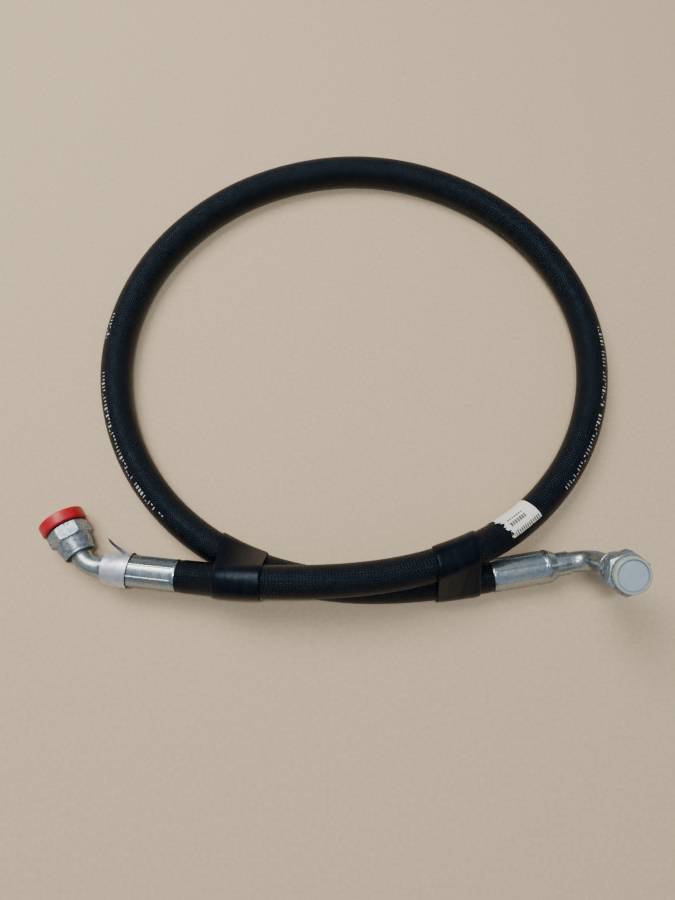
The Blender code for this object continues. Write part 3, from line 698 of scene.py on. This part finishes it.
def add_ferrule(side, place):
    """The crimped shell: a turned outline whose outside is pressed by eight dies. Each pad sinks
    by a square of the angle from its edges, and a narrow ridge stands between pads."""
    bore = CRIMP_SQUEEZE * HOSE_RADIUS + GAP
    nose_bore = COLLAR_RADIUS + GAP
    lip_end = LIP_START + LIP_LENGTH
    crimp_end = FERRULE_LENGTH - FERRULE_NOSE - 0.0035
    outline = filleted(
        [
            (nose_bore + 0.0012, FERRULE_LENGTH),
            (FERRULE_RADIUS - 0.0002, FERRULE_LENGTH - FERRULE_NOSE + 0.0004),
            (FERRULE_RADIUS + 0.0002, crimp_end + 0.0022),
            (FERRULE_RADIUS + 0.0001, crimp_end + 0.0005),
            (FERRULE_RADIUS - 0.0005, crimp_end),
            (MOUTH_RADIUS, 0.0010),
            (MOUTH_RADIUS - 0.0003, 0.0),
            (MOUTH_BORE, 0.0),
            (bore, CRIMP_RUN_IN),
            (bore, LIP_START),
            (TUBE_RADIUS + GAP, LIP_START),
            (TUBE_RADIUS + GAP, lip_end),
            (nose_bore, lip_end),
            (nose_bore, FERRULE_LENGTH),
        ],
        0.0004,
    )
    outline = densified(outline)
    sides = 192
    angle = np.linspace(0, 2 * math.pi, sides, endpoint=False)[None, :]
    radius, height = outline.T[:, :, None]
    outer = radius > bore + 0.0008
    rise = np.clip((height - 0.0015) / 0.003, 0, 1) * np.clip((crimp_end - height) / 0.0015, 0, 1)
    pad = (CRIMP_DIES * angle / (2 * math.pi) + 0.5) % 1.0 - 0.5
    from_edge = 1 - 2 * np.abs(pad)
    sunk = CRIMP_DEPTH * (1 - (2 * pad) ** 2)
    sunk = sunk - CRIMP_RIDGE * np.exp(-((from_edge / 0.06) ** 2))
    radius = radius - np.where(outer, rise * sunk, 0.0)
    grid = np.stack([radius * np.cos(angle), radius * np.sin(angle), height + 0 * angle], axis=-1)
    ferrule = grid_piece(side + "_crimped_ferrule", placed(grid, place), PLATE, wrap_rows=True)
    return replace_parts(ferrule, side + "_ferrule")


def add_stem(side, place):
    """The stem: its collar outside the ferrule, and its barbed nipple inside."""
    lip_gap = LIP_START + GAP
    root = STEM_NIPPLE - BARB_DEPTH
    outline = [
        (COLLAR_RADIUS, COLLAR_END),
        (COLLAR_RADIUS, COLLAR_START),
        (TUBE_RADIUS, COLLAR_START),
        (TUBE_RADIUS, lip_gap),
        (STEM_NIPPLE, lip_gap),
    ]
    for barb in range(BARBS, 0, -1):
        crest = STEM_TIP + barb * BARB_PITCH
        outline += [(STEM_NIPPLE, crest), (root, crest - BARB_STEP)]
    outline += [
        (root, STEM_TIP),
        (STEM_BORE, STEM_TIP),
        (STEM_BORE, SOCKET_START),
        (TUBE_RADIUS + GAP, SOCKET_START),
        (TUBE_RADIUS + GAP, COLLAR_END),
    ]
    stem = turned_piece(side + "_barbed_stem", outline, place, PLATE, round_off=0.00025, sides=64)
    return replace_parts(stem, side + "_stem")


def add_tube(side, end, place):
    """The bent tube: a ring carried along a straight, an arc and a straight, out on its outer
    skin and back through its bore, a little flattened in the bend."""
    bend, radius = math.radians(end["bend"]), end["bend_radius"]
    start = COLLAR_END + end["before"]
    last = end["after"] + SEAL_FACE - SLEEVE_FACE_WALL - GAP
    inlet, arc, outlet = 8, 40, 14  # rings in each stretch
    count = inlet + arc + outlet
    turn = np.concatenate([np.zeros(inlet), np.linspace(0, bend, arc), np.full(outlet, bend)])
    before = np.linspace(SOCKET_START + GAP, start, inlet + 1)[:-1] - start
    before = np.concatenate([before, np.zeros(arc + outlet)])
    after = np.concatenate([np.zeros(inlet + arc), np.linspace(0, last, outlet + 1)[1:]])
    centre = np.stack(
        [
            radius * (1 - np.cos(turn)) + after * np.sin(turn),
            0 * turn,
            start + before + radius * np.sin(turn) + after * np.cos(turn),
        ],
        axis=-1,
    )
    rows = np.concatenate([np.arange(count), np.arange(count)[::-1]])
    size = np.repeat([TUBE_RADIUS, TUBE_BORE], count)[:, None]
    flatten = 0.03 * np.sin(np.pi * turn / bend)[rows][:, None]
    angle = np.linspace(0, 2 * math.pi, 64, endpoint=False)[None, :]
    inward = np.stack([np.cos(turn), 0 * turn, -np.sin(turn)], axis=-1)[rows]
    across = size * (1 - flatten) * np.cos(angle)
    level = size * (1 + 0.5 * flatten) * np.sin(angle)
    grid = centre[rows][:, None] + across[..., None] * inward[:, None]
    grid = grid + level[..., None] * np.array([0, 1, 0])
    tube = grid_piece(side + "_bent_tube", placed(grid, place), TUBE_PLATE, wrap_rows=True)
    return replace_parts(tube, side + "_elbow_tube")


def add_sleeve(side, place):
    """The sleeve on the tube's end: its hub passes the nut's back, its face takes the seal."""
    shoulder = NUT_SHOULDER + GAP
    pocket = SEAL_FACE - SLEEVE_FACE_WALL
    outline = [
        (SLEEVE_RADIUS, SEAL_FACE),
        (SLEEVE_RADIUS, shoulder),
        (SLEEVE_HUB_RADIUS, shoulder),
        (SLEEVE_HUB_RADIUS, SLEEVE_START),
        (TUBE_RADIUS + GAP, SLEEVE_START),
        (TUBE_RADIUS + GAP, pocket),
        (TUBE_BORE, pocket),
        (TUBE_BORE, SEAL_FACE),
    ]
    sleeve = turned_piece(side + "_flat_face_sleeve", outline, place, PLATE, sides=72)
    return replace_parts(sleeve, side + "_seal_sleeve")


def add_nut(side, end, place):
    """The swivel nut. Outside, its radius is the lesser of a hexagon's and a turned outline's,
    blended by a high power so that the edges are a little round. Inside, a helical thread."""
    flat = NUT_ACROSS_FLATS / 2
    corner = NUT_ACROSS_FLATS / math.sqrt(3)
    lead = 0.0021
    outside = [
        (NUT_THREAD_RADIUS + NUT_CHAMFER, NUT_LENGTH),
        (flat - 0.0006, NUT_LENGTH),
        (corner + 0.0002, NUT_LENGTH - lead),
        (corner + 0.0002, NUT_SKIRT + lead),
        (flat - 0.0008, NUT_SKIRT + 0.0001),
        (flat - 0.0018, NUT_SKIRT - 0.0007),
        (flat - 0.0009, NUT_SKIRT - 0.0024),
        (flat - 0.0011, NUT_SKIRT - 0.0055),
        (NUT_SKIRT_RADIUS - 0.0002, 0.0034),
        (NUT_SKIRT_RADIUS - 0.0007, 0.0030),
        (NUT_SKIRT_RADIUS + 0.0001, 0.0024),
        (NUT_SKIRT_RADIUS + 0.0001, 0.0006),
        (NUT_SKIRT_RADIUS - 0.0005, 0.0),
        (SLEEVE_HUB_RADIUS + 0.0016, 0.0),
        (SLEEVE_HUB_RADIUS + 0.0006, 0.0028),
        (SLEEVE_HUB_RADIUS + 0.0006, NUT_SHOULDER),
        (NUT_THREAD_RADIUS, NUT_SHOULDER),
        (NUT_THREAD_RADIUS, NUT_LENGTH - NUT_CHAMFER),
    ]
    outline = densified(filleted(outside, 0.0004), 0.00045)
    angle = np.linspace(0, 2 * math.pi, 240, endpoint=False)[None, :]
    radius, height = outline.T[:, :, None]
    power = 90
    flats = np.radians(np.arange(0, 360, 60))[:, None]
    facing = np.cos(angle - math.radians(end["nut_turn"]) - flats)
    hexagon = flat * (np.clip(facing, 0.2, None) ** power).sum(axis=0) ** (-1 / power)
    outer = radius > NUT_THREAD_RADIUS + 0.0002
    blended = (radius**-power + hexagon[None, :] ** -power) ** (-1 / power)
    threaded = (height > SEAL_FACE - 0.004) & (radius < NUT_THREAD_RADIUS + 0.0001)
    helix = (height / THREAD_PITCH - angle / (2 * math.pi)) % 1.0
    thread = THREAD_DEPTH * (1 - np.abs(2 * helix - 1))
    radius = np.where(outer, blended, radius + np.where(threaded, thread, 0.0))
    grid = np.stack([radius * np.cos(angle), radius * np.sin(angle), height + 0 * angle], axis=-1)
    nut = grid_piece(
        side + "_hex_nut", placed(grid, place), NUT_PLATE, body=side + "_nut", wrap_rows=True
    )
    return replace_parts(nut, side + "_swivel_nut")


def add_plug(side, end, place, look):
    """The dust plug: a cup under a thick flange with a shallow recess, spun from its axis out."""
    seat = NUT_LENGTH + GAP
    top = seat + end["plug_flange"]
    tip = seat - PLUG_SHANK
    floor = top - PLUG_RECESS
    radius = end["plug_flange_radius"]
    shank = NUT_THREAD_RADIUS - GAP
    hollow = shank - PLUG_WALL
    outline = [
        (0.0002, floor),
        (radius - PLUG_RIM, floor),
        (radius - PLUG_RIM + 0.0002, top),
        (radius - 0.0008, top),
        (radius, top - 0.0010),
        (radius - 0.0001, seat + 0.0012),
        (radius - 0.0012, seat),
        (shank, seat),
        (shank - 0.0003, tip),
        (hollow, tip),
        (hollow, floor - PLUG_WALL),
        (0.0002, floor - PLUG_WALL),
    ]
    outline = densified(filleted(outline, 0.0006, steps=4), 0.0015)
    inner = outline[:, 0] < radius - PLUG_RIM - 0.0002
    outline[:, 1] += np.where(inner, 0.0004 * (1 - (outline[:, 0] / radius) ** 2), 0.0)
    outline[:, 0] = np.where(outline[:, 0] < 0.0004, 0.0, outline[:, 0])
    grid = turned_grid(outline, place, 96)
    plug = grid_piece(side + "_plug", grid, look, body=side + "_plug", wrap_rows=True)
    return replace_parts(plug, side + "_dust_plug")


def add_end(side, end, fitting, swivel, plug_look):
    pieces = [add_ferrule(side, fitting), add_stem(side, fitting), add_tube(side, end, fitting)]
    add_sleeve(side, swivel)
    add_nut(side, end, swivel)
    add_plug(side, end, swivel, plug_look)
    return pieces


# ---- tag, label and tape ----


def add_tag(place):
    """The foil band: a thin turned shell, a little uneven, drawn in past the ferrule's nose."""
    inner = FERRULE_RADIUS + GAP + TAG_SLACK
    nose = FERRULE_LENGTH - FERRULE_NOSE
    end = TAG_START + TAG_LENGTH
    outline = [
        (inner + TAG_WALL - TAG_TAPER, end),
        (inner + TAG_WALL, nose),
        (inner + TAG_WALL, TAG_START),
        (inner, TAG_START),
        (inner, nose),
        (inner - TAG_TAPER, end),
    ]
    outline = densified(filleted(outline, 0.00015), 0.0012)
    angle = np.linspace(0, 2 * math.pi, 160, endpoint=False)[None, :]
    radius, height = outline.T[:, :, None]
    loose = np.clip((height - TAG_START) / TAG_LENGTH, 0, 1)
    uneven = 0.00022 * np.sin(3 * angle + 1.0) + 0.00012 * np.sin(7 * angle + 400 * height)
    radius = radius + (0.2 + 0.8 * loose) * uneven
    height = height - 0.0016 * (1 - loose) * np.cos(angle - math.radians(FLAG_TURN))
    grid = np.stack([radius * np.cos(angle), radius * np.sin(angle), height + 0 * angle], axis=-1)
    tag = grid_piece("foil_band", placed(grid, place), FOIL, wrap_rows=True)
    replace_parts(tag, "foil_tag")
    # the front leaf wears the darker copy of the foil: painted shade
    add_flag("foil_flag_front", place, inner + TAG_WALL, 0.0, SHADED_FOIL)
    add_flag("foil_flag_back", place, inner + TAG_WALL, FLAG_APART, FOIL)


def add_flag(name, place, radius, apart, look):
    """One of the band's two ends, pinched together and standing off it: a narrow strip on
    edge. Its middle line runs from the band's edge along the band and, by a power of the way
    along, out from it; its own height leans back a little and curls at the tip."""
    u = np.linspace(0, 1, 48)[:, None]
    v = np.linspace(-0.5, 0.5, 14)[None, :]
    start = math.radians(FLAG_TURN)
    root = radius - FLAG_ROOT
    swell = 0.85 + 0.15 * np.sin(math.pi * np.clip(1.6 * u, 0, 0.5))
    tall = FLAG_HEIGHT * (1 - 0.25 * u**4) * swell
    lean = np.radians(26 + 22 * u)
    away = FLAG_REACH * u**1.25 + apart * np.clip(u - 0.35, 0, 1) ** 1.5
    across = root * math.cos(start) + away + tall * v * np.sin(lean)
    across = across + 0.0009 * np.sin(5.5 * u) * (v + 0.5) ** 2
    upwards = -root * math.sin(start) + 0.0013 + 0.0022 * u + tall * v * np.cos(lean)
    ahead = TAG_START - 0.0012 + (TAG_LENGTH - 0.0020) * u + 0.0012 * v * u
    grid = np.stack([across, -upwards, ahead], axis=-1)
    flag = grid_piece(name, placed(grid, place), look, wrap_cols=False, closed=False)
    wall = flag.modifiers.new("foil", "SOLIDIFY")
    wall.thickness = FLAG_WALL
    wall.offset = 0.0


def add_label():
    """The paper label: a patch between two distances along the hose, torn along one end by a
    sum of waves, and lifting a little at its corners."""
    across = np.linspace(LABEL_FROM, LABEL_TO, 90)[:, None]
    t = np.linspace(0, 1, 60)[None, :]
    tear = 0.0016 * np.sin(across / 6.5) + 0.0011 * np.sin(across / 2.3 + 1)
    tear = tear + 0.0008 * np.sin(across / 1.3)
    first = LABEL_MIDDLE - LABEL_LENGTH / 2 + tear + 0.00006 * (across - LABEL_FROM)
    last = LABEL_MIDDLE + LABEL_LENGTH / 2 + 0.0002 * np.sin(across / 15)
    along = first + (last - first) * t
    lift = 0.00018 + 0.0004 * (1 - t) ** 8
    grid = on_hose(along, np.radians(across) + 0 * t, lift + 0 * along)
    label = grid_piece("torn_label", grid, PAPER, wrap_cols=False, closed=False)
    wall = label.modifiers.new("paper", "SOLIDIFY")
    wall.thickness = LABEL_WALL
    wall.offset = 1.0
    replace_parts(label, "paper_label")
    bars = np.arange(LABEL_MIDDLE - 0.016, LABEL_MIDDLE + 0.021, 0.0026)
    level = np.full(len(bars), math.radians(21.0))
    tall = 0.0030 + 0.0018 * rng.random(len(bars))
    thin = np.full(len(bars), 0.0015)
    row = add_marks("label_bars", bars, level, thin, 1.15 * tall, LABEL_PRINT_LIFT, BROWN_INK)
    words = np.tile(np.arange(-0.010, 0.011, 0.0031), 2) + LABEL_MIDDLE
    lines = np.repeat(np.radians([-13.0, -31.0]), len(words) // 2)
    wide = 0.0018 + 0.0007 * rng.random(len(words))
    high = np.repeat([0.0040, 0.0016], len(words) // 2)
    text = add_marks("label_dashes", words, lines, wide, high, LABEL_PRINT_LIFT, GREY_INK)


def crossings(line, planes, along):
    """Where a stretch of the route passes through each plane square to along, and which way."""
    reach = line @ along
    order = np.argsort(reach)
    at = lambda values: np.stack(
        [np.interp(planes, reach[order], v[order]) for v in values.T], axis=-1
    )
    ahead = np.gradient(line, axis=0)
    ahead = at(ahead / np.linalg.norm(ahead, axis=1)[:, None])
    return at(line), ahead / np.linalg.norm(ahead, axis=1)[:, None]


def add_tape(name, replaced, middle, width, heading):
    """A band round both hose ends. In each direction across the band it lies on whichever hose
    reaches farther, so it spans the gap between them like a belt; two skins make its wall."""
    along = np.array([math.cos(math.radians(heading)), math.sin(math.radians(heading)), 0.0])
    sideways = np.array([along[1], -along[0], 0.0])
    near = Hose.line[:, 1] < -0.10
    half = len(Hose.line) // 2
    upper, lower = Hose.line[:half][near[:half]], Hose.line[half:][near[half:]]
    east = np.array([1.0, 0, 0])
    centre = sum(crossings(line, [middle], east)[0][0] for line in (upper, lower)) / 2
    offsets = np.linspace(-width / 2, width / 2, 25)
    turn = np.linspace(0, 2 * math.pi, 160, endpoint=False)
    outward = np.cos(turn)[:, None] * sideways + np.sin(turn)[:, None] * np.array([0, 0, 1.0])
    edge = 1 - (2 * np.abs(offsets) / width) ** 12
    skins = []
    for grow, thinner in ((TAPE_CLEARANCE + TAPE_WALL, TAPE_EDGE), (TAPE_CLEARANCE, 0.0)):
        best = None
        for line in (upper, lower):
            place, ahead = crossings(line, centre @ along + offsets, along)
            slant = (ahead @ outward.T) / (ahead @ along)[:, None]
            across = outward[None] - along * slant[..., None]
            across /= np.linalg.norm(across, axis=-1, keepdims=True)
            back = ahead[:, None] * ((across @ along) / (ahead @ along)[:, None])[..., None]
            lift = HOSE_RADIUS + grow - thinner * (1 - edge)
            points = place[:, None] + lift[:, None, None] * (across - back)
            reach = (points * outward[None]).sum(axis=-1, keepdims=True)
            if best is None:
                best, farthest = points, reach
            else:
                best = np.where(reach > farthest, points, best)
        skins.append(best)
    grid = np.concatenate([skins[0], skins[1][::-1]])
    band = grid_piece(name, grid, TAPE, wrap_rows=True)
    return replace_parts(band, replaced)


hose = add_hose()
add_print()
add_end("left", LEFT_END, LEFT_FITTING, LEFT_SWIVEL, RED)
right_pieces = add_end("right", RIGHT_END, RIGHT_FITTING, RIGHT_SWIVEL, MILKY)
add_tag(LEFT_FITTING)
add_label()
add_tape("left_tape", "left_tape_band", -0.0870, 0.044, -5.0)
add_tape("right_tape", "right_tape_band", 0.1130, 0.041, 7.0)


# ---- floor and light ----


def add_floor():
    """A plain pale floor, faintly grained."""
    side = 30.0
    corners = [(-side, -side, 0), (side, -side, 0), (side, side, 0), (-side, side, 0)]
    mesh = bpy.data.meshes.new("floor")
    mesh.from_pydata(corners, [], [(0, 1, 2, 3)])
    sheet = Finish("floor", (0.46, 0.36, 0.26), 0.85)
    fine = sheet.noise(0.004, detail=6.0)
    sheet.colour(sheet.blend(sheet.ramp(fine, 0.0, 1.0), (0.54, 0.40, 0.255), (0.62, 0.465, 0.305)))
    mesh.materials.append(sheet.material)
    floor = bpy.data.objects.new("floor", mesh)
    bpy.context.scene.collection.objects.link(floor)


def add_light(name, place, size, power, colour, aim):
    lamp = bpy.data.lights.new(name, "AREA")
    lamp.shape = "RECTANGLE"
    lamp.size, lamp.size_y = size
    lamp.energy = power
    lamp.color = colour
    obj = bpy.data.objects.new(name, lamp)
    obj.location = place
    bpy.context.scene.collection.objects.link(obj)
    direction = Vector(aim) - Vector(place)
    obj.rotation_euler = direction.to_track_quat("-Z", "Y").to_euler()


def add_world():
    """A studio: pale at its horizon, dim a third of the way up, bright from halfway up."""
    world = bpy.data.worlds.new("studio")
    world.use_nodes = True
    tree = world.node_tree
    direction = tree.nodes.new("ShaderNodeTexCoord").outputs["Generated"]
    parts = tree.nodes.new("ShaderNodeSeparateXYZ")
    tree.links.new(direction, parts.inputs[0])
    ramp = tree.nodes.new("ShaderNodeValToRGB")
    tree.links.new(parts.outputs["Z"], ramp.inputs[0])
    first, last = ramp.color_ramp.elements
    first.position, first.color = 0.0, (0.46, 0.48, 0.50, 1)
    last.position, last.color = 0.95, (0.50, 0.62, 0.76, 1)
    bands = ((0.16, 0.42), (0.30, 0.17), (0.42, 0.22), (0.50, 0.62), (0.68, 0.66), (0.80, 0.42))
    for position, blue in bands:
        dimmed = (blue * 0.74, blue * 0.88, blue, 1)
        ramp.color_ramp.elements.new(position).color = dimmed
    background = tree.nodes["Background"]
    tree.links.new(ramp.outputs["Color"], background.inputs["Color"])
    background.inputs["Strength"].default_value = 0.75
    bpy.context.scene.world = world


add_floor()
add_light("key", (-0.75, 0.75, 1.70), (1.1, 1.1), 44.0, (1.0, 0.97, 0.92), (0, -0.05, 0))
add_light("overhead", (0.02, -0.27, 1.70), (0.40, 0.05), 11.0, (0.95, 0.97, 1.0), (0, -0.15, 0))
add_world()

bpy.context.view_layer.update()
